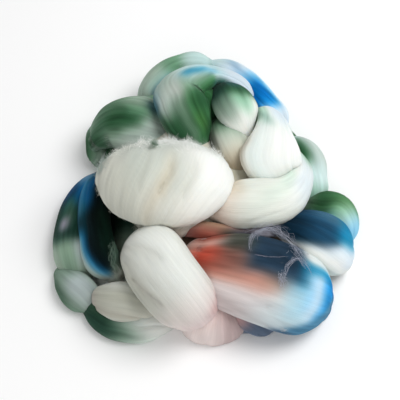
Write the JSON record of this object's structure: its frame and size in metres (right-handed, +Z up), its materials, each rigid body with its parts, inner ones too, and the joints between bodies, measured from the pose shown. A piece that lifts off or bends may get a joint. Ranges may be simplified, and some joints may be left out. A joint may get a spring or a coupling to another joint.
{
  "type": "wool roving",
  "caption": "Thick soft strand of combed wool roving, dyed in soft patches, looped through itself and heaped in a round nest.",
  "frame": {"origin": "under the middle of the heap, on the surface it rests on", "axes": "+Z up, +X to the right and +Y to the back, seen from the side that the picture was taken from"},
  "size_m": [0.2076, 0.2154, 0.0797],
  "materials": {
    "wool": "matt loose fibre"
  },
  "bodies": {
    "root": {"roving": "wool"}
  },
  "joints": []
}
